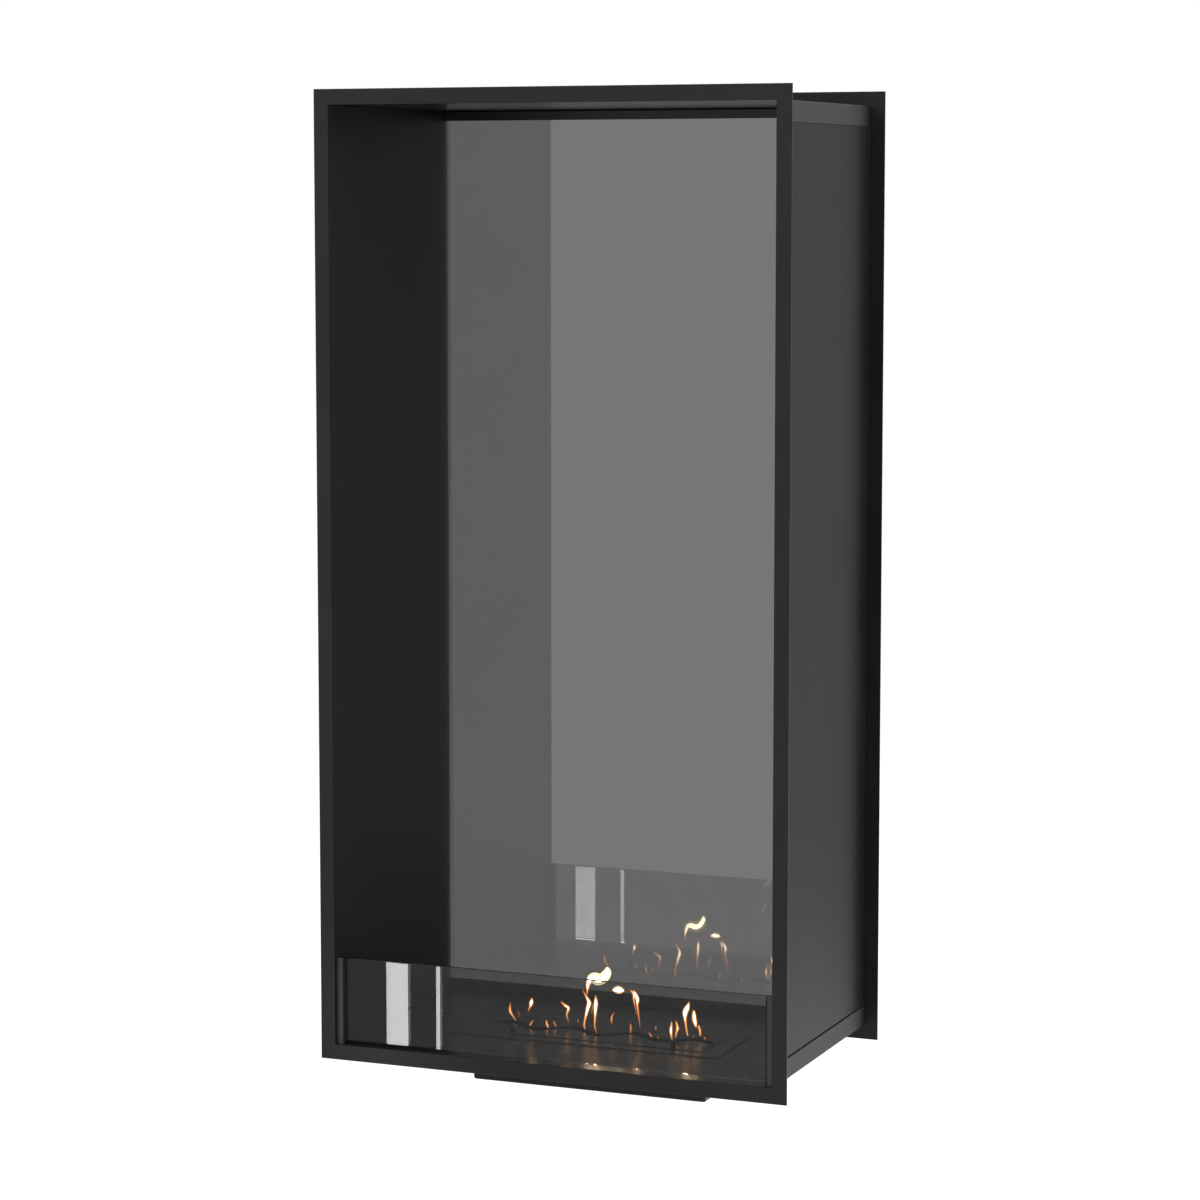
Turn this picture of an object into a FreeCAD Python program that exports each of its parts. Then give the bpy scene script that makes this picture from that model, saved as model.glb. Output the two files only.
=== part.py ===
import FreeCAD, Part
import math
import os

# Double-sided built-in fireplace.
# X runs across the face, the front faces -Y and Z points up.
# The origin is the centre of the base tray's underside. All sizes are in millimetres.

# Casing
face_width = 640.0
face_height = 1250.0
overall_depth = 368.0
face_border = 20.0
frame_sheet = 2.0
frame_edge_round = 0.6
tray_sheet = 1.2
tray_bend_outside = 1.8
lip_height = 26.2
lower_seam = 3.0
upper_seam = 0.5
rear_seam = 3.0
liner_sheet = 0.8
liner_end_gap = 0.8

# Rear pane and its channels
rail_sheet = 1.2
rail_height = 13.0
rail_bend_outside = 2.0
rail_end_gap = 0.3
rear_glass_thickness = 6.0
rear_glass_side_gap = 2.5
rear_seal_wall = 1.15
rear_seal_base = 2.5
glass_arris = 0.6

# Front guard
guard_height = 113.0
guard_floor_gap = 4.0
guard_glass_thickness = 6.0
guard_glass_slack = 0.1
guard_end_slack = 0.5
post_setback = 6.6
post_width = 8.3
post_web = 2.0
post_lip = 1.8
post_edge_round = 0.5
gasket_wall = 1.2
gasket_back = 1.0
gasket_reach = 2.5
pad_length = 6.5

# Burner
burner_length = 372.0
burner_depth = 137.0
trim_end_border = 27.0
trim_side_border = 19.5
trim_sheet = 1.5
trim_corner_radius = 3.0
trim_edge_chamfer = 0.6
plate_sheet = 2.5
plate_gap = 1.0
tank_end_overlap = 4.5
tank_side_overlap = 3.0
tank_height = 64.0
tank_sheet = 1.2
tank_corner_radius = 4.0
tank_bottom_radius = 3.0
plate_ledge = 4.0
tank_floor_clearance = 2.0
wool_height = 36.0
wool_clearance = 1.0
wool_corner_radius = 4.0

# Wavy flame opening between the two flame plates, as shares of their depth where a size has no unit
wave_count = 3.6
wave_swing_share = 0.1225
wave_opening_share = 0.1837
wave_offset = -1.5
wave_tip = 2.0
wave_taper_length = 12.0
wave_step = 5.0

# Shutter
shutter_sheet = 1.0
shutter_play = 0.2
shutter_end_gap = 1.0
shutter_hide = 0.5
shutter_cover = 0.8
shutter_front_margin = 2.0
# The knobs stand this many waves out from the middle.
knob_wave_place = 1.293
knob_edge_inset = 8.5
knob_diameter = 8.0
knob_height = 8.0
knob_lift = 0.2
knob_round = 1.2
stud_diameter = 4.0
stud_slot_clearance = 0.4
stud_hole_clearance = 0.1
guide_sheet = 1.2
guide_width = 13.0
guide_end_gap = 1.0

# Two positions closer than this count as one
same_place = 1e-6

# Levels and faces that follow from the sizes above
floor_top = tray_sheet
frame_bottom = floor_top - face_border
frame_top = frame_bottom + face_height
ceiling = frame_top - face_border
tray_top = ceiling + tray_sheet
front_face = -overall_depth / 2
rear_face = overall_depth / 2
body_front = front_face + frame_sheet
body_rear = rear_face - frame_sheet
opening_half = face_width / 2 - face_border
liner_outside = opening_half + liner_sheet
body_half = liner_outside + tray_sheet
rail_depth = 2 * rail_sheet + 2 * rear_seal_wall + rear_glass_thickness
rail_front = rear_face - rail_depth
rail_centre = rear_face - rail_depth / 2
guard_top = floor_top + guard_height
post_depth = 2 * post_lip + 2 * gasket_wall + guard_glass_thickness + 2 * guard_glass_slack
post_front = front_face + post_setback
guard_centre = post_front + post_depth / 2
trim_top = floor_top + trim_sheet
plate_top = floor_top + plate_sheet
plate_half_length = burner_length / 2 - trim_end_border
plate_half_depth = burner_depth / 2 - trim_side_border
tank_half_length = plate_half_length + tank_end_overlap
tank_half_depth = plate_half_depth + tank_side_overlap
tank_bottom = floor_top - tank_height
rim_bottom = floor_top - tank_sheet
mouth_half_length = plate_half_length - plate_ledge
mouth_half_depth = plate_half_depth - plate_ledge
wave_half_length = plate_half_length - plate_gap
wave_pitch = 2 * wave_half_length / wave_count
wave_swing = wave_swing_share * 2 * plate_half_depth
wave_opening = wave_opening_share * 2 * plate_half_depth
wave_front = wave_offset - wave_swing - wave_opening / 2
shutter_travel = shutter_hide + wave_opening + shutter_cover
shutter_half_length = mouth_half_length - shutter_end_gap
shutter_front = wave_front - shutter_travel - shutter_front_margin
shutter_bottom = floor_top - shutter_play - shutter_sheet
knob_spread = knob_wave_place * wave_pitch
knob_set_back = shutter_front + knob_edge_inset


def block(x0, x1, y0, y1, z0, z1):
    return Part.makeBox(x1 - x0, y1 - y0, z1 - z0, FreeCAD.Vector(x0, y0, z0))


def rod(diameter, x, y, z0, z1):
    return Part.makeCylinder(diameter / 2, z1 - z0, FreeCAD.Vector(x, y, z0))


def edges_where(shape, wanted):
    return [edge for edge in shape.Edges if wanted(edge.BoundBox)]


def runs_along(box, axis):
    spans = {"x": box.XLength, "y": box.YLength, "z": box.ZLength}
    return all(spans[name] < same_place for name in spans if name != axis)


def upside_down(shape):
    # Turns a floor piece into its partner at the ceiling.
    return shape.mirror(FreeCAD.Vector(0, 0, (floor_top + ceiling) / 2), FreeCAD.Vector(0, 0, 1))


def other_side(shape):
    return shape.mirror(FreeCAD.Vector(0, 0, 0), FreeCAD.Vector(1, 0, 0))


def face_frame(y_outer, y_inner):
    low, high = min(y_outer, y_inner), max(y_outer, y_inner)
    plate = block(-face_width / 2, face_width / 2, low, high, frame_bottom, frame_top)
    plate = plate.cut(block(-opening_half, opening_half, low, high, floor_top, ceiling))
    showing = edges_where(plate, lambda b: b.YLength < same_place and abs(b.YMin - y_outer) < same_place)
    plate = plate.makeFillet(frame_edge_round, showing)
    # The casing's outline is marked on the back, so the strip outside it is a seat of its own.
    casing = block(-body_half, body_half, body_front, body_rear, 0, tray_top)
    from_each = plate.Solids[0].generalFuse([casing])[1]
    return from_each[0][0]


def folded_tray():
    # A sheet with both long sides folded up outside the liners.
    tray = block(-body_half, body_half, body_front, body_rear, 0, lip_height)
    tray = tray.cut(block(-liner_outside, liner_outside, body_front, body_rear, floor_top, lip_height))
    bends = edges_where(tray, lambda b: runs_along(b, "y") and b.ZMax < same_place)
    return tray.makeFillet(tray_bend_outside, bends)


def base_tray():
    half_length = tank_half_length + tank_floor_clearance
    half_depth = tank_half_depth + tank_floor_clearance
    return folded_tray().cut(block(-half_length, half_length, -half_depth, half_depth, 0, floor_top))


def side_liner():
    low = floor_top + liner_end_gap
    high = ceiling - liner_end_gap
    return block(opening_half, liner_outside, body_front, body_rear, low, high)


def side_panel():
    low = lip_height + lower_seam
    high = tray_top - lip_height - upper_seam
    return block(liner_outside, body_half, body_front, body_rear - rear_seam, low, high)


def rear_rail():
    half = opening_half - rail_end_gap
    top = floor_top + rail_height
    web_top = floor_top + rail_sheet
    rail = block(-half, half, rail_front, rear_face, floor_top, top)
    bends = edges_where(rail, lambda b: runs_along(b, "x") and b.ZMax - floor_top < same_place)
    rail = rail.makeFillet(rail_bend_outside, bends)
    return rail.cut(block(-half, half, rail_front + rail_sheet, rear_face - rail_sheet, web_top, top))


def rear_seal():
    half = opening_half - rear_glass_side_gap
    low = floor_top + rail_sheet
    top = floor_top + rail_height
    reach = rear_seal_wall + rear_glass_thickness / 2
    seal = block(-half, half, rail_centre - reach, rail_centre + reach, low, top)
    groove = rear_glass_thickness / 2
    return seal.cut(block(-half, half, rail_centre - groove, rail_centre + groove, low + rear_seal_base, top))


def pane(half_width, y_centre, thickness, low, high):
    glass = block(-half_width, half_width, y_centre - thickness / 2, y_centre + thickness / 2, low, high)
    rim = edges_where(glass, lambda b: runs_along(b, "x") or runs_along(b, "z"))
    return glass.makeChamfer(glass_arris, rim)


def rear_glass():
    edge_gap = rail_sheet + rear_seal_base
    half = opening_half - rear_glass_side_gap
    return pane(half, rail_centre, rear_glass_thickness, floor_top + edge_gap, ceiling - edge_gap)


def guard_post():
    inner = opening_half - post_width
    web = opening_half - post_web
    back = post_front + post_depth
    post = block(inner, opening_half, post_front, back, floor_top, guard_top)
    post = post.cut(block(inner, web, post_front + post_lip, back - post_lip, floor_top, guard_top))
    upright = lambda b: runs_along(b, "z") and abs(b.XMin - inner) < same_place
    outer = lambda b: abs(b.YMin - post_front) < same_place or abs(b.YMax - back) < same_place
    shown = edges_where(post, lambda b: upright(b) and outer(b))
    return post.makeFillet(post_edge_round, shown)


def guard_gasket():
    inner = opening_half - post_width - gasket_reach
    web = opening_half - post_web
    outside = post_depth / 2 - post_lip
    inside = outside - gasket_wall
    lining = block(inner, web, guard_centre - outside, guard_centre + outside, floor_top, guard_top)
    slot = block(inner, web - gasket_back, guard_centre - inside, guard_centre + inside, floor_top, guard_top)
    return lining.cut(slot)


def guard_pads():
    outer = opening_half - post_web - gasket_back
    half = guard_glass_thickness / 2
    low, high = floor_top, floor_top + guard_floor_gap
    right = block(outer - pad_length, outer, guard_centre - half, guard_centre + half, low, high)
    return Part.makeCompound([right, other_side(right)])


def guard_glass():
    half = opening_half - post_web - gasket_back - guard_end_slack
    return pane(half, guard_centre, guard_glass_thickness, floor_top + guard_floor_gap, guard_top)


def upright_edges(shape):
    return edges_where(shape, lambda b: runs_along(b, "z"))


def burner_trim():
    half_length, half_depth = burner_length / 2, burner_depth / 2
    ring = block(-half_length, half_length, -half_depth, half_depth, floor_top, trim_top)
    ring = ring.makeFillet(trim_corner_radius, upright_edges(ring))
    ring = ring.makeChamfer(trim_edge_chamfer, edges_where(ring, lambda b: abs(b.ZMin - trim_top) < same_place))
    across, along = plate_half_length, plate_half_depth
    return ring.cut(block(-across, across, -along, along, floor_top, trim_top))


def fuel_tank():
    across, along = tank_half_length, tank_half_depth
    tank = block(-across, across, -along, along, tank_bottom, floor_top)
    tank = tank.makeFillet(tank_corner_radius, upright_edges(tank))
    tank = tank.makeFillet(tank_bottom_radius, edges_where(tank, lambda b: abs(b.ZMax - tank_bottom) < same_place))
    across, along = tank_half_length - tank_sheet, tank_half_depth - tank_sheet
    room = block(-across, across, -along, along, tank_bottom + tank_sheet, rim_bottom)
    room = room.makeFillet(tank_corner_radius - tank_sheet, upright_edges(room))
    low = lambda b: abs(b.ZMax - tank_bottom - tank_sheet) < same_place
    room = room.makeFillet(tank_bottom_radius - tank_sheet, edges_where(room, low))
    across, along = mouth_half_length, mouth_half_depth
    mouth = block(-across, across, -along, along, rim_bottom, floor_top)
    return tank.cut(room).cut(mouth)


def wave_centre(x):
    return wave_offset - wave_swing * math.cos(2 * math.pi * x / wave_pitch)


def wave_half_opening(x):
    into_taper = (abs(x) - (wave_half_length - wave_taper_length)) / wave_taper_length
    fullness = 1 - max(0.0, into_taper) ** 2
    return wave_tip / 2 + (wave_opening - wave_tip) / 2 * fullness


def wavy_sheet(half_length, straight_y, side, shift, z0, z1):
    # A sheet with one straight long edge and one edge that follows the flame opening.
    steps = round(2 * half_length / wave_step)
    points = []
    for number in range(steps + 1):
        x = -half_length + 2 * half_length * number / steps
        points.append(FreeCAD.Vector(x, wave_centre(x) + side * wave_half_opening(x) + shift, z0))
    curve = Part.BSplineCurve()
    curve.interpolate(points)
    left = FreeCAD.Vector(-half_length, straight_y, z0)
    right = FreeCAD.Vector(half_length, straight_y, z0)
    straight = Part.makePolygon([points[0], left, right, points[-1]])
    face = Part.Face(Part.Wire([curve.toShape()] + straight.Edges))
    return face.extrude(FreeCAD.Vector(0, 0, z1 - z0))


def stud_slot(x):
    # A slot with round ends that the knob's stud travels along.
    width = stud_diameter + stud_slot_clearance * 2
    near, far = knob_set_back, knob_set_back + shutter_travel
    slot = block(x - width / 2, x + width / 2, near, far, floor_top, plate_top)
    slot = slot.fuse(rod(width, x, near, floor_top, plate_top))
    return slot.fuse(rod(width, x, far, floor_top, plate_top)).removeSplitter()


def flame_plate_front():
    plate = wavy_sheet(wave_half_length, plate_gap - plate_half_depth, -1, 0, floor_top, plate_top)
    for x in (-knob_spread, knob_spread):
        plate = plate.cut(stud_slot(x))
    return plate


def flame_plate_rear():
    return wavy_sheet(wave_half_length, plate_half_depth - plate_gap, 1, 0, floor_top, plate_top)


def flame_shutter():
    low, high = shutter_bottom, shutter_bottom + shutter_sheet
    sheet = wavy_sheet(shutter_half_length, shutter_front, -1, -shutter_hide, low, high)
    for x in (-knob_spread, knob_spread):
        sheet = sheet.cut(rod(stud_diameter + stud_hole_clearance * 2, x, knob_set_back, low, high))
    return sheet


def shutter_knob(x):
    low = plate_top + knob_lift
    head = rod(knob_diameter, x, knob_set_back, low, low + knob_height)
    head = head.makeFillet(knob_round, edges_where(head, lambda b: abs(b.ZMin - low - knob_height) < same_place))
    return head.fuse(rod(stud_diameter, x, knob_set_back, shutter_bottom, low)).removeSplitter()


def shutter_guide():
    outer = tank_half_length - tank_sheet
    along = mouth_half_depth - guide_end_gap
    return block(outer - guide_width, outer, -along, along, rim_bottom - guide_sheet, rim_bottom)


def fuel_wool():
    half_length = tank_half_length - tank_sheet - wool_clearance
    half_depth = tank_half_depth - tank_sheet - wool_clearance
    low = tank_bottom + tank_sheet
    pad = block(-half_length, half_length, -half_depth, half_depth, low, low + wool_height)
    pad = pad.makeFillet(wool_corner_radius, upright_edges(pad))
    under = edges_where(pad, lambda b: abs(b.ZMax - low) < same_place)
    return pad.makeChamfer(tank_bottom_radius - tank_sheet, under)


pieces = {
    "front_frame": face_frame(front_face, body_front),
    "rear_frame": face_frame(rear_face, body_rear),
    "base_tray": base_tray(),
    "top_tray": upside_down(folded_tray()),
    "side_liner_left": other_side(side_liner()),
    "side_liner_right": side_liner(),
    "side_panel_left": other_side(side_panel()),
    "side_panel_right": side_panel(),
    "rear_glass": rear_glass(),
    "rear_rail_bottom": rear_rail(),
    "rear_rail_top": upside_down(rear_rail()),
    "rear_seal_bottom": rear_seal(),
    "rear_seal_top": upside_down(rear_seal()),
    "guard_glass": guard_glass(),
    "guard_post_left": other_side(guard_post()),
    "guard_post_right": guard_post(),
    "guard_gasket_left": other_side(guard_gasket()),
    "guard_gasket_right": guard_gasket(),
    "guard_pads": guard_pads(),
    "burner_trim": burner_trim(),
    "fuel_tank": fuel_tank(),
    "flame_plate_front": flame_plate_front(),
    "flame_plate_rear": flame_plate_rear(),
    "flame_shutter": flame_shutter(),
    "shutter_knob_left": shutter_knob(-knob_spread),
    "shutter_knob_right": shutter_knob(knob_spread),
    "shutter_guide_left": other_side(shutter_guide()),
    "shutter_guide_right": shutter_guide(),
    "fuel_wool": fuel_wool(),
}

os.makedirs("parts", exist_ok=True)
for name, shape in pieces.items():
    shape.exportStep("parts/" + name + ".step")
    print(name, shape.ShapeType, len(shape.Solids), shape.isValid(), round(shape.Volume / 1000, 2), "cm3")
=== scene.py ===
import bpy
import bmesh
import math
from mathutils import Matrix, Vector, noise


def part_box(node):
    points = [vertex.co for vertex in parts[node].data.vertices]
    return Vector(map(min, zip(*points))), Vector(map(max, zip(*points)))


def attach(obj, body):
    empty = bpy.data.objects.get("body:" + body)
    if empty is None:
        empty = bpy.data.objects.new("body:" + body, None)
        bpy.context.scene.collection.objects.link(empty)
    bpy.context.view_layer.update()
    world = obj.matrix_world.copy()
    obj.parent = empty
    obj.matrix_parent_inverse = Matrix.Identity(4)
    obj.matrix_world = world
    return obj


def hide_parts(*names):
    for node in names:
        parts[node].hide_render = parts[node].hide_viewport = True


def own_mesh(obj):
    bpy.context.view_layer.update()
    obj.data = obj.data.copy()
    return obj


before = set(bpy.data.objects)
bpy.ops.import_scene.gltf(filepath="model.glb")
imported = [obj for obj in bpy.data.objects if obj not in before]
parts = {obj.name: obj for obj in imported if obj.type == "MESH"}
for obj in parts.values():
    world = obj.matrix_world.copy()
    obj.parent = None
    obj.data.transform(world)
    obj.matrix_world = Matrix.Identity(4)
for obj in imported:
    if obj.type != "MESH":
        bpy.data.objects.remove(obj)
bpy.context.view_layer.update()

scene = bpy.context.scene
print("frame loaded with", len(parts), "pieces")


# small helpers for node trees

def addNode(tree, kind, **settings):
    made = tree.nodes.new(kind)
    for name, value in settings.items():
        setattr(made, name, value)
    return made


def feed(socket, value):
    if isinstance(value, bpy.types.NodeSocket):
        socket.id_data.links.new(value, socket)
    else:
        socket.default_value = value


def setInputs(node, **values):
    for name, value in values.items():
        feed(node.inputs[name.replace("_", " ")], value)


def calc(tree, operation, *values, clamp=False):
    made = addNode(tree, "ShaderNodeMath", operation=operation, use_clamp=clamp)
    for socket, value in zip(made.inputs, values):
        feed(socket, value)
    return made.outputs[0]


def newGroup(name, inputs, outputs):
    group = bpy.data.node_groups.new(name, "ShaderNodeTree")
    for label, kind, value in inputs:
        socket = group.interface.new_socket(label, in_out="INPUT", socket_type=kind)
        if value is not None:
            socket.default_value = value
    for label, kind in outputs:
        group.interface.new_socket(label, in_out="OUTPUT", socket_type=kind)
    return group, addNode(group, "NodeGroupInput"), addNode(group, "NodeGroupOutput")


def newMaterial(name):
    material = bpy.data.materials.new(name)
    material.use_nodes = True
    return material, material.node_tree, material.node_tree.nodes["Principled BSDF"]


def mixShaders(tree, factor, first, second):
    mix = addNode(tree, "ShaderNodeMixShader")
    feed(mix.inputs["Fac"], factor)
    feed(mix.inputs[1], first)
    feed(mix.inputs[2], second)
    setInputs(tree.nodes["Material Output"], Surface=mix.outputs["Shader"])


def dress(material, *names):
    for name in names:
        slots = parts[name].data.materials
        slots.clear()
        slots.append(material)


# shared finish: a sprayed or moulded skin with soft clouds of tone and a fine grain

skinLook = dict(grainDetail=2.0, grainFall=0.55, cloudDetail=4.0, cloudFall=0.6, cloudLow=0.3, cloudHigh=0.7,
                speckle=0.5, balance=0.67)


def buildSkin(look):
    group, take, give = newGroup(
        "sprayedSkin",
        [("Vector", "NodeSocketVector", None), ("Grain Scale", "NodeSocketFloat", 900.0),
         ("Cloud Scale", "NodeSocketFloat", 6.0), ("Dark", "NodeSocketColor", None),
         ("Light", "NodeSocketColor", None), ("Smooth", "NodeSocketFloat", 0.3),
         ("Rough", "NodeSocketFloat", 0.4)],
        [("Color", "NodeSocketColor"), ("Roughness", "NodeSocketFloat"), ("Height", "NodeSocketFloat")])
    grain = addNode(group, "ShaderNodeTexNoise")
    setInputs(grain, Vector=take.outputs["Vector"], Scale=take.outputs["Grain Scale"],
              Detail=look["grainDetail"], Roughness=look["grainFall"])
    cloud = addNode(group, "ShaderNodeTexNoise")
    setInputs(cloud, Vector=take.outputs["Vector"], Scale=take.outputs["Cloud Scale"],
              Detail=look["cloudDetail"], Roughness=look["cloudFall"])
    spread = addNode(group, "ShaderNodeMapRange", interpolation_type="SMOOTHSTEP")
    setInputs(spread, Value=cloud.outputs["Fac"], From_Min=look["cloudLow"], From_Max=look["cloudHigh"])
    # the grain shifts the tone a little too
    mottle = calc(group, "MULTIPLY_ADD", grain.outputs["Fac"], look["speckle"], spread.outputs["Result"])
    share = calc(group, "MULTIPLY", mottle, look["balance"], clamp=True)
    tone = addNode(group, "ShaderNodeMix", data_type="RGBA")
    setInputs(tone, Factor=share, A=take.outputs["Dark"], B=take.outputs["Light"])
    gloss = addNode(group, "ShaderNodeMapRange")
    setInputs(gloss, Value=share, To_Min=take.outputs["Smooth"], To_Max=take.outputs["Rough"])
    setInputs(give, Color=tone.outputs["Result"], Roughness=gloss.outputs["Result"], Height=grain.outputs["Fac"])
    return group


skinGroup = buildSkin(skinLook)


# paint and rubber: each coat with the pieces that wear it

grainDepth = 0.0004
blueShare = 1.02
outerFace = 0.3004  # beyond this half width a tray or liner shows its outer face

coats = {
    "flangeCoat": dict(dark=0.012, light=0.018, smooth=0.36, rough=0.42, grain=1100.0, cloud=5.0,
                       bump=0.05, shine=0.2, on=("front_frame", "rear_frame")),
    "panelCoat": dict(dark=0.012, light=0.017, smooth=0.31, rough=0.37, grain=1100.0, cloud=4.0,
                      bump=0.05, shine=0.037, on=("side_panel_left", "side_panel_right")),
    "crownCoat": dict(dark=0.020, light=0.026, smooth=0.19, rough=0.25, grain=1000.0, cloud=3.0,
                      bump=0.03, shine=0.4, outside=dict(tone=0.006, rough=0.53), on=("top_tray",)),
    "linerCoat": dict(dark=0.008, light=0.013, smooth=0.36, rough=0.42, grain=1000.0, cloud=3.0,
                      # the liners' near-black outer face is painted shade that darkens the seam beside the side panels
                      bump=0.05, shine=0.4, outside=dict(tone=0.0015, rough=1.0),
                      on=("side_liner_left", "side_liner_right", "rear_rail_bottom", "rear_rail_top")),
    "postCoat": dict(dark=0.038, light=0.050, smooth=0.36, rough=0.42, grain=1000.0, cloud=12.0,
                     bump=0.05, shine=0.3, on=("guard_post_left", "guard_post_right")),
    "hearthCoat": dict(dark=0.0105, light=0.0130, smooth=0.26, rough=0.28, grain=900.0, cloud=5.0,
                       bump=0.03, shine=0.4, on=("burner_trim", "flame_plate_front", "flame_plate_rear")),
    "floorCoat": dict(dark=0.0105, light=0.0130, smooth=0.26, rough=0.28, grain=900.0, cloud=5.0,
                      bump=0.03, shine=0.4, outside=dict(tone=0.006, rough=0.62),
                      # the shadow line is painted shade round the burner's rim, not a real dark joint
                      shadowLine=dict(around="burner_trim", width=0.0016, tone=0.001, rough=1.0),
                      on=("base_tray",)),
    "tankCoat": dict(dark=0.010, light=0.016, smooth=0.34, rough=0.42, grain=700.0, cloud=9.0,
                     bump=0.06, shine=0.2,
                     on=("fuel_tank", "flame_shutter", "shutter_guide_left", "shutter_guide_right")),
    "knobCoat": dict(dark=0.003, light=0.006, smooth=0.3, rough=0.38, grain=1600.0, cloud=40.0,
                     bump=0.04, shine=0.3, on=("shutter_knob_left", "shutter_knob_right")),
    "sealRubber": dict(dark=0.003, light=0.007, smooth=0.55, rough=0.75, grain=1500.0, cloud=25.0,
                       bump=0.12, shine=0.25,
                       on=("rear_seal_bottom", "rear_seal_top", "guard_gasket_left", "guard_gasket_right",
                           "guard_pads")),
}


def grey(value):
    return (value, value, value * blueShare, 1.0)


def reach(tree, vector, axis):
    apart = addNode(tree, "ShaderNodeSeparateXYZ")
    setInputs(apart, Vector=vector)
    return calc(tree, "ABSOLUTE", apart.outputs[axis])


def paintedShadowMask(tree, vector, line):
    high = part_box(line["around"])[1]
    gaps = [calc(tree, "SUBTRACT", reach(tree, vector, axis), half)
            for axis, half in (("X", high.x), ("Y", high.y))]
    return calc(tree, "LESS_THAN", calc(tree, "MAXIMUM", *gaps), line["width"])


def overPaint(tree, mask, colour, gloss, paint):
    coat = addNode(tree, "ShaderNodeMix", data_type="RGBA")
    setInputs(coat, Factor=mask, A=colour, B=grey(paint["tone"]))
    dull = addNode(tree, "ShaderNodeMix", data_type="FLOAT")
    setInputs(dull, Factor=mask, A=gloss, B=paint["rough"])
    return coat.outputs["Result"], dull.outputs["Result"]


def makeCoat(name, look):
    material, tree, shader = newMaterial(name)
    spot = addNode(tree, "ShaderNodeTexCoord").outputs["Object"]
    skin = addNode(tree, "ShaderNodeGroup", node_tree=skinGroup)
    setInputs(skin, Vector=spot, Grain_Scale=look["grain"], Cloud_Scale=look["cloud"], Dark=grey(look["dark"]),
              Light=grey(look["light"]), Smooth=look["smooth"], Rough=look["rough"])
    colour, gloss = skin.outputs["Color"], skin.outputs["Roughness"]
    if "outside" in look:  # the outer face is painted apart from the inner one; on the liners it is near black, painted shade for the seam
        mask = calc(tree, "GREATER_THAN", reach(tree, spot, "X"), outerFace)
        colour, gloss = overPaint(tree, mask, colour, gloss, look["outside"])
    if "shadowLine" in look:  # painted shade: a dark line round the burner's rim stands in for the shadow in the gap between floor and rim
        mask = paintedShadowMask(tree, spot, look["shadowLine"])
        colour, gloss = overPaint(tree, mask, colour, gloss, look["shadowLine"])
    bump = addNode(tree, "ShaderNodeBump")
    setInputs(bump, Strength=look["bump"], Distance=grainDepth, Height=skin.outputs["Height"])
    setInputs(shader, Base_Color=colour, Roughness=gloss, Normal=bump.outputs["Normal"],
              Specular_IOR_Level=look["shine"])
    return material


for name, look in coats.items():
    dress(makeCoat(name, look), *look["on"])
print("steel and rubber finishes on")


# glass: tinted right through, with a faint haze that varies the gloss

paneHaze = dict(grain=60.0, cloud=5.0, deepest=0.97, smooth=0.0, rough=0.0015)
panes = {
    "smokedPane": dict(tint=(0.121, 0.122, 0.122), ior=1.72, shade=0.12, on="rear_glass"),
    "guardPane": dict(tint=(0.43, 0.434, 0.432), ior=1.42, shade=0.45, on="guard_glass"),
}


def makePane(name, look, hazeLook):
    material, tree, shader = newMaterial(name)
    place = addNode(tree, "ShaderNodeTexCoord")
    haze = addNode(tree, "ShaderNodeGroup", node_tree=skinGroup)
    dark = tuple(channel * hazeLook["deepest"] for channel in look["tint"])
    setInputs(haze, Vector=place.outputs["Object"], Grain_Scale=hazeLook["grain"], Cloud_Scale=hazeLook["cloud"],
              Dark=(*dark, 1.0), Light=(*look["tint"], 1.0), Smooth=hazeLook["smooth"], Rough=hazeLook["rough"])
    setInputs(shader, Base_Color=haze.outputs["Color"], Roughness=haze.outputs["Roughness"], Metallic=0.0,
              IOR=look["ior"], Transmission_Weight=1.0)
    through = addNode(tree, "ShaderNodeBsdfTransparent")  # lamps shine through the pane, dimmed
    setInputs(through, Color=grey(look["shade"]))
    rays = addNode(tree, "ShaderNodeLightPath")
    mixShaders(tree, rays.outputs["Is Shadow Ray"], shader.outputs["BSDF"], through.outputs["BSDF"])
    return material


for name, look in panes.items():
    dress(makePane(name, look, paneHaze), look["on"])
print("panes glazed")


# absorbent wool in the tank, a lumpy pad inside the space of its plain block

woolPad = dict(columns=84, rows=26, layers=7, inset=0.0015, headroom=0.001, lump=0.0022, lumpScale=60.0,
               lumpFall=0.6, lumpGap=2.0, lumpOctaves=4, corner=0.006, cornerDrop=0.7, topShare=0.6,
               sideRoom=0.0002, fill=0.7)
woolFibre = dict(dark=(0.36, 0.33, 0.27, 1.0), light=(0.62, 0.58, 0.5, 1.0), grain=1400.0, cloud=70.0,
                 smooth=0.85, rough=1.0, lie=(0.25, 1.0, 1.0), bump=0.6, depth=0.0015)
touching = 1e-5  # a point this near a face of the block lies on it
longEdge = 0.01


def cutAlong(shape, axis, cuts):
    edges = [edge for edge in shape.edges if abs(edge.verts[0].co[axis] - edge.verts[1].co[axis]) > longEdge]
    bmesh.ops.subdivide_edges(shape, edges=edges, cuts=cuts, use_grid_fill=True)


def inwardFrom(value, low, high):
    if value - low < touching:
        return 1.0
    return -1.0 if high - value < touching else 0.0


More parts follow.
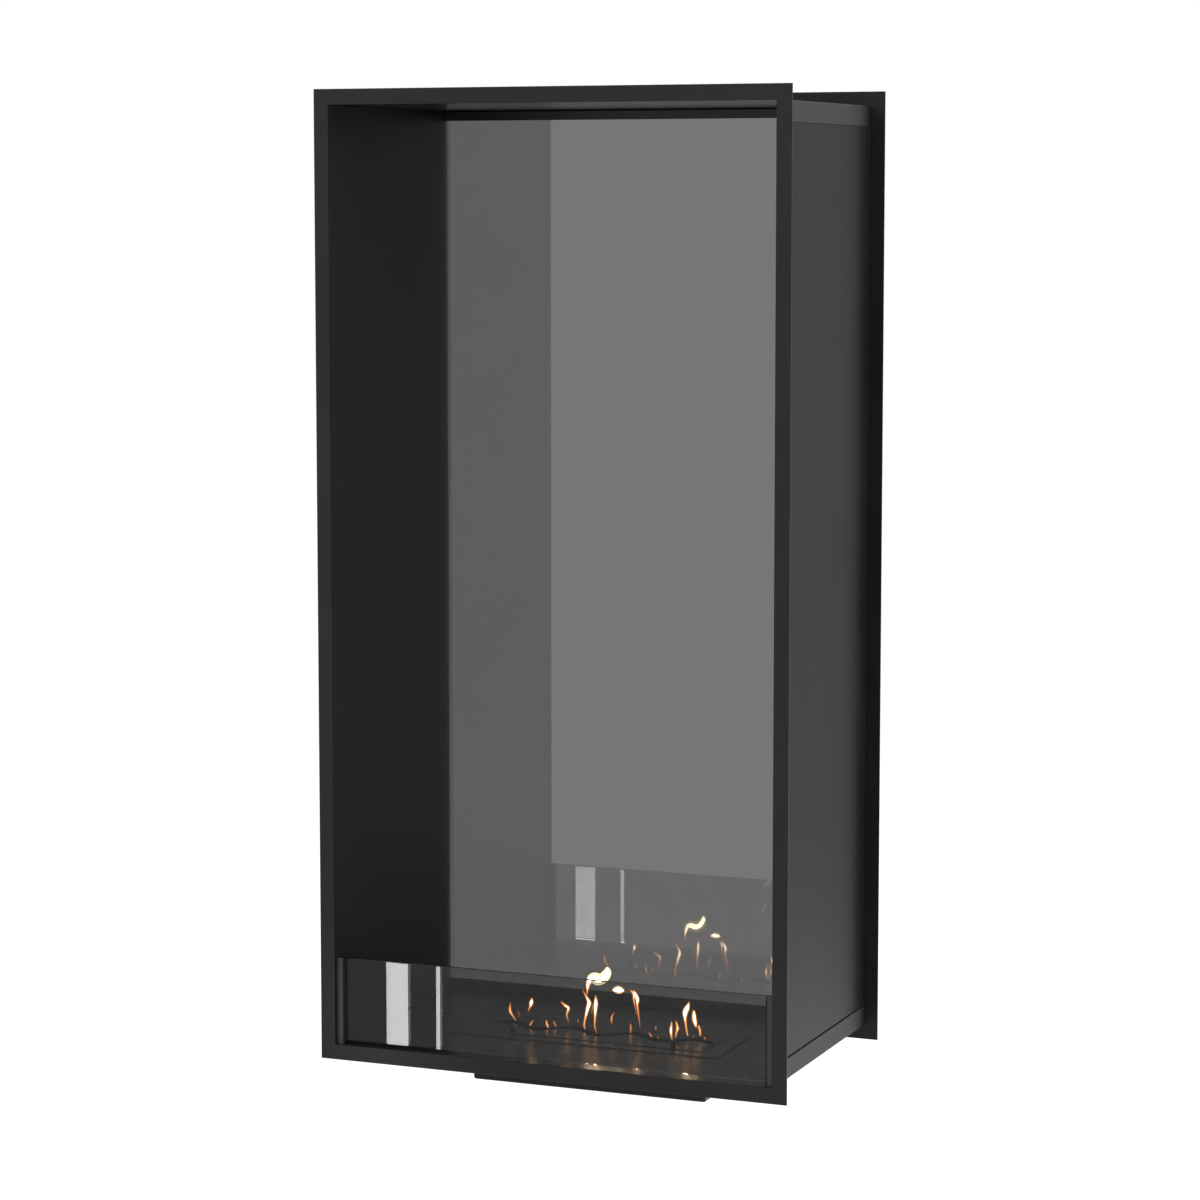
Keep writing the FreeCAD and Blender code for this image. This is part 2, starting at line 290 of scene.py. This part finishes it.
def makeWool(look):
    low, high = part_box("fuel_wool")
    inset = look["inset"]
    low, high = low + Vector((inset, inset, 0.0)), high - Vector((inset, inset, look["headroom"]))
    mesh = bpy.data.meshes.new("woolPad")
    shape = bmesh.new()
    bmesh.ops.create_cube(shape, size=1.0)
    bmesh.ops.scale(shape, vec=high - low, verts=shape.verts)
    bmesh.ops.translate(shape, vec=(low + high) / 2, verts=shape.verts)
    for axis, cuts in enumerate((look["columns"], look["rows"], look["layers"])):
        cutAlong(shape, axis, cuts)
    for vert in shape.verts:
        spot = vert.co
        lump = look["lump"] * noise.fractal(spot * look["lumpScale"], look["lumpFall"], look["lumpGap"],
                                            look["lumpOctaves"])
        rim = min(spot.x - low.x, high.x - spot.x, spot.y - low.y, high.y - spot.y)
        slope = max(0.0, 1.0 - rim / look["corner"])
        if spot.z > high.z - touching:
            vert.co.z -= slope * slope * look["corner"] * look["cornerDrop"] + (look["lump"] + lump) * look["topShare"]
        elif spot.z > low.z + touching:
            inward = Vector((inwardFrom(spot.x, low.x, high.x), inwardFrom(spot.y, low.y, high.y), 0.0))
            vert.co += inward * (abs(lump) + look["sideRoom"])
    bmesh.ops.recalc_face_normals(shape, faces=shape.faces)
    for face in shape.faces:
        face.smooth = True
    shape.to_mesh(mesh)
    shape.free()
    return bpy.data.objects.new("woolPad", mesh)


def makeFibre(name, look):
    material, tree, shader = newMaterial(name)
    place = addNode(tree, "ShaderNodeTexCoord")
    stretch = addNode(tree, "ShaderNodeMapping")  # fibres lie mostly along the tank
    setInputs(stretch, Vector=place.outputs["Object"], Scale=look["lie"])
    skin = addNode(tree, "ShaderNodeGroup", node_tree=skinGroup)
    setInputs(skin, Vector=stretch.outputs["Vector"], Grain_Scale=look["grain"], Cloud_Scale=look["cloud"],
              Dark=look["dark"], Light=look["light"], Smooth=look["smooth"], Rough=look["rough"])
    bump = addNode(tree, "ShaderNodeBump")
    setInputs(bump, Strength=look["bump"], Distance=look["depth"], Height=skin.outputs["Height"])
    setInputs(shader, Base_Color=skin.outputs["Color"], Roughness=skin.outputs["Roughness"],
              Normal=bump.outputs["Normal"])
    return material


wool = makeWool(woolPad)
scene.collection.objects.link(wool)
wool.data.materials.append(makeFibre("woolFibre", woolFibre))
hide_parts("fuel_wool")
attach(wool, "burner")
print("wool laid in the tank")


# flames: a bright core in a thin orange shell; thin stems glow orange, thick heads white

flames = dict(steps=26, sides=10, curveOrder=3, curveSteps=8, castShare=0.24, castColour=(1.0, 0.5, 0.2, 1.0),
              fullGirth=0.004)
flameLayers = {
    "flameCore": dict(finish="coreGlow", fullness=0.55, strength=16.0,
                      stops=[(0.0, (0.03, 0.007, 0.002, 1.0)), (0.2, (0.06, 0.017, 0.004, 1.0)),
                             (0.45, (0.22, 0.10, 0.03, 1.0)), (0.85, (1.0, 0.9, 0.62, 1.0))]),
    "flameEdge": dict(finish="edgeGlow", fullness=1.1, strength=2.4, alpha=(0.55, 0.85), rim=(0.1, 1.0),
                      stops=[(0.0, (0.2, 0.045, 0.01, 1.0)), (0.4, (0.48, 0.11, 0.02, 1.0)),
                             (0.7, (0.9, 0.3, 0.07, 1.0)), (1.0, (1.0, 0.75, 0.4, 1.0))]),
}

# each tongue is a path above the wavy slot: its depth, then x, z and half width of its points, in millimetres
tongues = {
    "leftWisp": (9.9, [(-127.6, 5.5, 0.8), (-131.8, 11.4, 1.2), (-136.7, 17.6, 2.0), (-136.3, 24.1, 1.4),
                       (-135.6, 30.3, 0.4)]),
    "leftSpark": (6.9, [(-121.0, 11.7, 0.4), (-121.7, 15.6, 0.8), (-123.7, 20.3, 0.6)]),
    "leftTeardrop": (-7.7, [(-102.6, 23.6, 0.6), (-99.1, 31.6, 1.6), (-97.3, 37.4, 3.5), (-97.1, 43.0, 0.8)]),
    "lowA": (-10.3, [(-98.6, 6.4, 1.2), (-97.5, 9.0, 1.6), (-93.1, 14.2, 0.6)]),
    "lowB": (-1.8, [(-75.3, 3.2, 0.8), (-78.4, 6.8, 2.4), (-78.8, 13.2, 1.0)]),
    "lowC": (-0.2, [(-64.6, 4.9, 0.6), (-68.1, 9.0, 1.6), (-68.6, 12.6, 0.8)]),
    "curlStem": (9.2, [(-50.7, 10.1, 0.6), (-55.1, 18.7, 1.2), (-52.5, 25.6, 1.8), (-51.1, 30.6, 2.2),
                       (-57.3, 32.4, 2.0), (-62.1, 37.6, 1.0)]),
    "lowD": (9.3, [(-37.7, 11.7, 0.8), (-37.7, 14.9, 1.0)]),
    "mainStem": (9.6, [(-26.9, 3.2, 0.8), (-30.4, 4.9, 1.4), (-27.8, 18.2, 1.6), (-23.5, 34.6, 2.9),
                       (-21.3, 39.3, 2.9), (-27.4, 48.7, 1.4), (-32.1, 56.7, 0.6)]),
    "mainHead": (-3.4, [(-19.9, 52.7, 0.8), (-19.4, 62.0, 2.0), (-17.3, 71.8, 3.6), (-12.1, 77.4, 6.2),
                        (-2.6, 73.1, 6.8), (5.6, 79.8, 6.0), (9.1, 87.7, 4.4), (7.4, 91.6, 1.6)]),
    "twinStem": (-13.4, [(-1.9, 5.6, 0.6), (-5.4, 12.8, 1.2), (-4.5, 25.7, 1.6), (-3.6, 39.7, 2.7),
                         (-2.8, 47.8, 2.9), (-3.9, 56.4, 0.6)]),
    "twinSide": (-10.3, [(-10.5, 30.0, 0.6), (-9.7, 38.0, 1.2), (-7.1, 45.1, 1.0)]),
    "midCurve": (-6.0, [(16.6, 17.6, 0.6), (15.3, 23.4, 1.6), (17.0, 29.6, 1.2), (20.9, 34.3, 0.4)]),
    "floating": (-5.8, [(16.9, 62.2, 1.2), (21.7, 64.2, 4.1), (27.3, 63.9, 5.3), (33.7, 63.3, 1.6)]),
    "lowE": (8.9, [(36.9, 4.4, 0.8), (37.3, 10.9, 1.6), (36.9, 16.8, 0.8)]),
    "tallLeft": (10.5, [(44.8, 29.2, 0.6), (42.3, 40.5, 1.0), (40.1, 51.1, 1.6), (42.7, 56.1, 2.9),
                        (34.9, 61.8, 0.6)]),
    "tallRight": (9.5, [(49.9, 13.1, 0.6), (48.2, 27.3, 1.2), (45.7, 43.1, 1.6), (46.9, 52.0, 3.3),
                        (40.5, 60.6, 1.6)]),
    "lowF": (2.4, [(69.8, 3.2, 0.8), (67.7, 4.5, 1.4), (65.1, 9.1, 0.8)]),
    "lowG": (-11.7, [(80.4, 17.0, 1.0), (80.4, 21.0, 1.0)]),
    "lowH": (-13.1, [(84.3, 6.2, 0.8), (83.5, 8.9, 0.8)]),
    "rightA": (-8.4, [(101.6, 5.2, 0.8), (99.9, 14.5, 2.4), (100.8, 23.3, 2.0), (101.2, 29.3, 0.8)]),
    "rightB": (-5.4, [(105.6, 8.0, 1.0), (106.4, 14.8, 1.6), (109.4, 20.7, 2.2), (106.0, 29.0, 1.2)]),
    "peakStem": (5.2, [(118.5, 8.8, 1.2), (116.8, 15.9, 1.4), (114.7, 30.6, 1.8), (114.3, 39.7, 3.7),
                       (118.5, 47.2, 3.3), (120.6, 54.9, 0.6)]),
    "stepUpper": (10.1, [(128.5, 19.7, 1.2), (126.4, 26.6, 3.1), (125.1, 35.4, 2.9), (125.1, 41.9, 1.6)]),
    "stepLower": (10.4, [(133.9, 9.0, 1.2), (134.3, 15.8, 2.0), (131.3, 22.2, 1.6)]),
    "lowI": (9.0, [(125.1, 6.5, 0.8), (125.1, 8.5, 0.8)]),
    "lowJ": (7.4, [(142.6, 5.4, 0.6), (140.9, 7.6, 1.4), (140.5, 8.4, 0.8)]),
}
perMetre = 1000


def flamePaths(look):
    data = bpy.data.curves.new("flamePaths", "CURVE")
    data.dimensions = "3D"
    for depth, points in tongues.values():
        spline = data.splines.new("NURBS")
        spline.points.add(len(points) - 1)
        for point, (x, z, halfWidth) in zip(spline.points, points):
            point.co = (x / perMetre, depth / perMetre, z / perMetre, 1.0)
            point.radius = halfWidth / perMetre
        spline.order_u = min(look["curveOrder"], len(points))
        spline.use_endpoint_u = True
        spline.resolution_u = look["curveSteps"]
    return bpy.data.objects.new("flamePaths", data)


def flameTree():
    tree = bpy.data.node_groups.new("flameTongues", "GeometryNodeTree")
    for label, kind in (("Paths", "Geometry"), ("Fullness", "Float"), ("Steps", "Int"), ("Sides", "Int"),
                        ("Finish", "Material")):
        tree.interface.new_socket(label, in_out="INPUT", socket_type="NodeSocket" + kind)
    tree.interface.new_socket("Flames", in_out="OUTPUT", socket_type="NodeSocketGeometry")
    take, give = addNode(tree, "NodeGroupInput"), addNode(tree, "NodeGroupOutput")
    even = addNode(tree, "GeometryNodeResampleCurve")
    setInputs(even, Curve=take.outputs["Paths"], Count=take.outputs["Steps"])
    width = addNode(tree, "GeometryNodeInputRadius").outputs["Radius"]
    plump = addNode(tree, "GeometryNodeStoreNamedAttribute", data_type="FLOAT", domain="POINT")
    setInputs(plump, Geometry=even.outputs["Curve"], Name="girth", Value=width)
    girth = addNode(tree, "GeometryNodeSetCurveRadius")
    setInputs(girth, Curve=plump.outputs["Geometry"], Radius=calc(tree, "MULTIPLY", width, take.outputs["Fullness"]))
    ring = addNode(tree, "GeometryNodeCurvePrimitiveCircle")
    setInputs(ring, Radius=1.0, Resolution=take.outputs["Sides"])
    carried = addNode(tree, "GeometryNodeInputRadius")
    skin = addNode(tree, "GeometryNodeCurveToMesh")
    setInputs(skin, Curve=girth.outputs["Curve"], Profile_Curve=ring.outputs["Curve"],
              Scale=carried.outputs["Radius"], Fill_Caps=True)
    real = addNode(tree, "GeometryNodeRealizeInstances")
    setInputs(real, Geometry=skin.outputs["Mesh"])
    paint = addNode(tree, "GeometryNodeSetMaterial")
    setInputs(paint, Geometry=real.outputs["Geometry"], Material=take.outputs["Finish"])
    setInputs(give, Flames=paint.outputs["Geometry"])
    return tree


def makeFlame(name, tree, paths, finish, fullness, look):
    modifier = paths.modifiers.new("tongues", "NODES")
    modifier.node_group = tree
    wanted = {"Fullness": fullness, "Steps": look["steps"], "Sides": look["sides"], "Finish": finish}
    for item in tree.interface.items_tree:
        if item.in_out == "INPUT" and item.name in wanted:
            modifier[item.identifier] = wanted[item.name]
    bpy.context.view_layer.update()
    mesh = bpy.data.meshes.new_from_object(paths.evaluated_get(bpy.context.evaluated_depsgraph_get()))
    paths.modifiers.remove(modifier)
    mesh.name = name
    for polygon in mesh.polygons:
        polygon.use_smooth = True
    made = bpy.data.objects.new(name, mesh)
    scene.collection.objects.link(made)
    return made


def seenMask(tree):
    rays = addNode(tree, "ShaderNodeLightPath")
    seen = rays.outputs["Is Camera Ray"]
    for kind, other in (("Is Glossy Ray", "Transmission Depth"), ("Is Transmission Ray", "Glossy Depth")):
        only = calc(tree, "LESS_THAN", rays.outputs[other], 0.5)  # one mirror or one pane, not both
        seen = calc(tree, "MAXIMUM", seen, calc(tree, "MULTIPLY", rays.outputs[kind], only))
    return seen


def rimVeil(tree, share, layer):
    fade = addNode(tree, "ShaderNodeMapRange")
    setInputs(fade, Value=share, To_Min=layer["alpha"][0], To_Max=layer["alpha"][1])
    facing = addNode(tree, "ShaderNodeLayerWeight")
    across = addNode(tree, "ShaderNodeMapRange", interpolation_type="SMOOTHSTEP")  # middle of the tongue to its rim
    setInputs(across, Value=facing.outputs["Facing"], To_Min=layer["rim"][0], To_Max=layer["rim"][1])
    return calc(tree, "MULTIPLY", across.outputs["Result"], fade.outputs["Result"])


def makeGlow(layer, look):
    material, tree, shader = newMaterial(layer["finish"])
    girth = addNode(tree, "ShaderNodeAttribute", attribute_name="girth")
    share = addNode(tree, "ShaderNodeMapRange")
    setInputs(share, Value=girth.outputs["Fac"], From_Max=look["fullGirth"])
    ramp = addNode(tree, "ShaderNodeValToRGB")
    while len(ramp.color_ramp.elements) < len(layer["stops"]):
        ramp.color_ramp.elements.new(0.5)
    for element, (where, colour) in zip(ramp.color_ramp.elements, layer["stops"]):
        element.position = where
        element.color = colour
    setInputs(ramp, Fac=share.outputs["Result"])
    seen = seenMask(tree)
    tone = addNode(tree, "ShaderNodeMix", data_type="RGBA")  # light cast on other pieces is plain orange
    setInputs(tone, Factor=seen, A=look["castColour"], B=ramp.outputs["Color"])
    level = addNode(tree, "ShaderNodeMapRange")
    setInputs(level, Value=seen, To_Min=layer["strength"] * look["castShare"], To_Max=layer["strength"])
    setInputs(shader, Emission_Color=tone.outputs["Result"], Emission_Strength=level.outputs["Result"],
              Base_Color=(0.0, 0.0, 0.0, 1.0), Specular_IOR_Level=0.0)
    if "alpha" in layer:
        setInputs(shader, Alpha=rimVeil(tree, share.outputs["Result"], layer))
        material.cycles.emission_sampling = "NONE"
    return material


glows = {name: makeGlow(layer, flames) for name, layer in flameLayers.items()}
paths = flamePaths(flames)
scene.collection.objects.link(paths)
tongueTree = flameTree()
for name, layer in flameLayers.items():
    flame = makeFlame(name, tongueTree, paths, glows[name], layer["fullness"], flames)
    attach(flame, "burner")
    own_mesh(flame)
    print(name, "has", len(flame.data.polygons), "faces")
bpy.data.objects.remove(paths)


# stage: pale floor well below the hanging tank, a white surround and soft lamps

stageLook = dict(floorLevel=-0.42, floorSize=14.0, floorTone=0.6, floorRough=0.9, floorLift=0.58, surround=1.0,
                 fill=0.75)


def oblong(middle, half, level):
    (x, y), (across, along) = middle, half
    return [(x - across, y - along, level), (x + across, y - along, level),
            (x + across, y + along, level), (x - across, y + along, level)]


def stageMesh(name, points, faces, material, hidden=()):
    mesh = bpy.data.meshes.new(name)
    mesh.from_pydata(points, [], faces)
    mesh.materials.append(material)
    made = bpy.data.objects.new(name, mesh)
    for ray in hidden:
        setattr(made, "visible_" + ray, False)
    scene.collection.objects.link(made)
    return made


def makeFloor(look):
    material, tree, shader = newMaterial("paleFloor")
    setInputs(shader, Base_Color=(look["floorTone"],) * 3 + (1.0,), Roughness=look["floorRough"],
              Specular_IOR_Level=0.0)
    rays = addNode(tree, "ShaderNodeLightPath")
    lift = addNode(tree, "ShaderNodeEmission")  # seen directly the floor is white, and keeps its shadow
    setInputs(lift, Strength=calc(tree, "MULTIPLY", rays.outputs["Is Camera Ray"], look["floorLift"]))
    both = addNode(tree, "ShaderNodeAddShader")
    feed(both.inputs[0], shader.outputs["BSDF"])
    feed(both.inputs[1], lift.outputs["Emission"])
    plain = addNode(tree, "ShaderNodeEmission")  # in metal and glass it is as white as the surround
    setInputs(plain, Strength=look["surround"])
    shown = calc(tree, "ADD", rays.outputs["Is Glossy Ray"], rays.outputs["Is Transmission Ray"], clamp=True)
    mixShaders(tree, shown, both.outputs["Shader"], plain.outputs["Emission"])
    half = (look["floorSize"], look["floorSize"])
    floor = stageMesh("floor", oblong((0.0, 0.0), half, look["floorLevel"]), [(0, 1, 2, 3)], material)


def makeSurround(look):
    world = bpy.data.worlds.new("surround")
    scene.world = world
    world.use_nodes = True
    tree = world.node_tree
    rays = addNode(tree, "ShaderNodeLightPath")
    seen = calc(tree, "ADD", rays.outputs["Is Camera Ray"], rays.outputs["Is Glossy Ray"])
    seen = calc(tree, "ADD", seen, rays.outputs["Is Transmission Ray"], clamp=True)
    level = addNode(tree, "ShaderNodeMapRange")
    setInputs(level, Value=seen, To_Min=look["fill"], To_Max=look["surround"])
    setInputs(tree.nodes["Background"], Color=(1.0, 1.0, 1.0, 1.0), Strength=level.outputs["Result"])


lampAim = (0.0, 0.0, 0.6)
lamps = {
    "softKey": dict(place=(-2.4, -3.2, 3.0), size=2.6, power=60.0),
    "softSide": dict(place=(3.4, -0.6, 2.2), size=2.2, power=35.0),
    "softBack": dict(place=(0.6, 3.4, 2.6), size=2.6, power=35.0),
}


def addLamp(name, look):
    data = bpy.data.lights.new(name, "AREA")
    data.shape = "RECTANGLE"
    data.size = data.size_y = look["size"]
    data.energy = look["power"]
    lamp = bpy.data.objects.new(name, data)
    lamp.location = look["place"]
    lamp.rotation_euler = (Vector(lampAim) - Vector(look["place"])).to_track_quat("-Z", "Y").to_euler()
    for ray in ("camera", "glossy", "transmission"):
        setattr(lamp, "visible_" + ray, False)
    scene.collection.objects.link(lamp)


# two upright strip lights low in front, which show as bars in the guard pane

stripLights = dict(depth=-0.574, low=-0.115, high=0.029, strength=15.7, through=0.484,
                   spans=[(-0.4236, -0.3897), (-0.3458, -0.3399)])


def makeStrips(look):
    material, tree, shader = newMaterial("stripGlow")
    tree.nodes.remove(shader)
    rays = addNode(tree, "ShaderNodeLightPath")
    level = addNode(tree, "ShaderNodeMapRange")  # dimmer through the guard, as the rear pane mirrors them
    setInputs(level, Value=rays.outputs["Transmission Depth"], To_Min=look["strength"],
              To_Max=look["strength"] * look["through"])
    glow = addNode(tree, "ShaderNodeEmission")
    setInputs(glow, Strength=level.outputs["Result"])
    clear = addNode(tree, "ShaderNodeBsdfTransparent")
    mirrored = calc(tree, "MINIMUM", rays.outputs["Glossy Depth"], 1.0)  # only a mirror shows them
    mixShaders(tree, mirrored, clear.outputs["BSDF"], glow.outputs["Emission"])
    points, faces = [], []
    for left, right in look["spans"]:
        first = len(points)
        points += [(left, look["depth"], look["low"]), (right, look["depth"], look["low"]),
                   (right, look["depth"], look["high"]), (left, look["depth"], look["high"])]
        faces.append((first + 3, first + 2, first + 1, first))
    strips = stageMesh("stripLights", points, faces, material, hidden=("camera", "shadow", "diffuse"))


# cards that lie on the floor and show in mirrors only: a grey one in front keeps the guard pane from mirroring
# white, and a bright one beside the casing lifts the foot of its right side

cardLevel = -0.419
floorCards = {
    "greyCard": dict(middle=(-0.825, -2.025), half=(0.9, 0.72), tone=0.45, core=0.72),
    "brightCard": dict(middle=(1.2, 1.0), half=(1.3, 1.9), tone=2.5, core=0.1),
}


def makeCard(name, look, rimTone):
    material, tree, shader = newMaterial(name)
    tree.nodes.remove(shader)
    place = addNode(tree, "ShaderNodeTexCoord")
    scaled = addNode(tree, "ShaderNodeMapping", vector_type="TEXTURE")  # edges of the card lie at one
    setInputs(scaled, Vector=place.outputs["Object"], Location=(*look["middle"], 0.0), Scale=(*look["half"], 1.0))
    outward = calc(tree, "MAXIMUM", *(reach(tree, scaled.outputs["Vector"], axis) for axis in "XY"))
    fade = addNode(tree, "ShaderNodeMapRange", interpolation_type="SMOOTHSTEP")
    setInputs(fade, Value=outward, From_Min=look["core"], To_Min=look["tone"], To_Max=rimTone)
    glow = addNode(tree, "ShaderNodeEmission")
    setInputs(glow, Strength=fade.outputs["Result"])
    setInputs(tree.nodes["Material Output"], Surface=glow.outputs["Emission"])
    card = stageMesh(name, oblong(look["middle"], look["half"], cardLevel), [(0, 1, 2, 3)], material,
                     hidden=("camera", "shadow", "diffuse", "transmission"))


makeFloor(stageLook)
makeSurround(stageLook)
for name, look in floorCards.items():
    makeCard(name, look, stageLook["surround"])
makeStrips(stripLights)
for name, look in lamps.items():
    addLamp(name, look)
print("stage set")


# camera: a little to the right of the front and above mid height, turned to the left and tilted down, in degrees

view = dict(place=(1.7056, -4.1799, 1.0956), tilt=5.985, turn=22.241, lens=105.05, sensor=36.0, shift=-0.03)

camera = bpy.data.objects.new("camera", bpy.data.cameras.new("camera"))
camera.location = view["place"]
camera.rotation_euler = (math.radians(90 - view["tilt"]), 0.0, math.radians(view["turn"]))
camera.data.lens = view["lens"]
camera.data.sensor_width = view["sensor"]
camera.data.shift_y = view["shift"]
scene.collection.objects.link(camera)
scene.camera = camera
scene.view_settings.view_transform = "Standard"
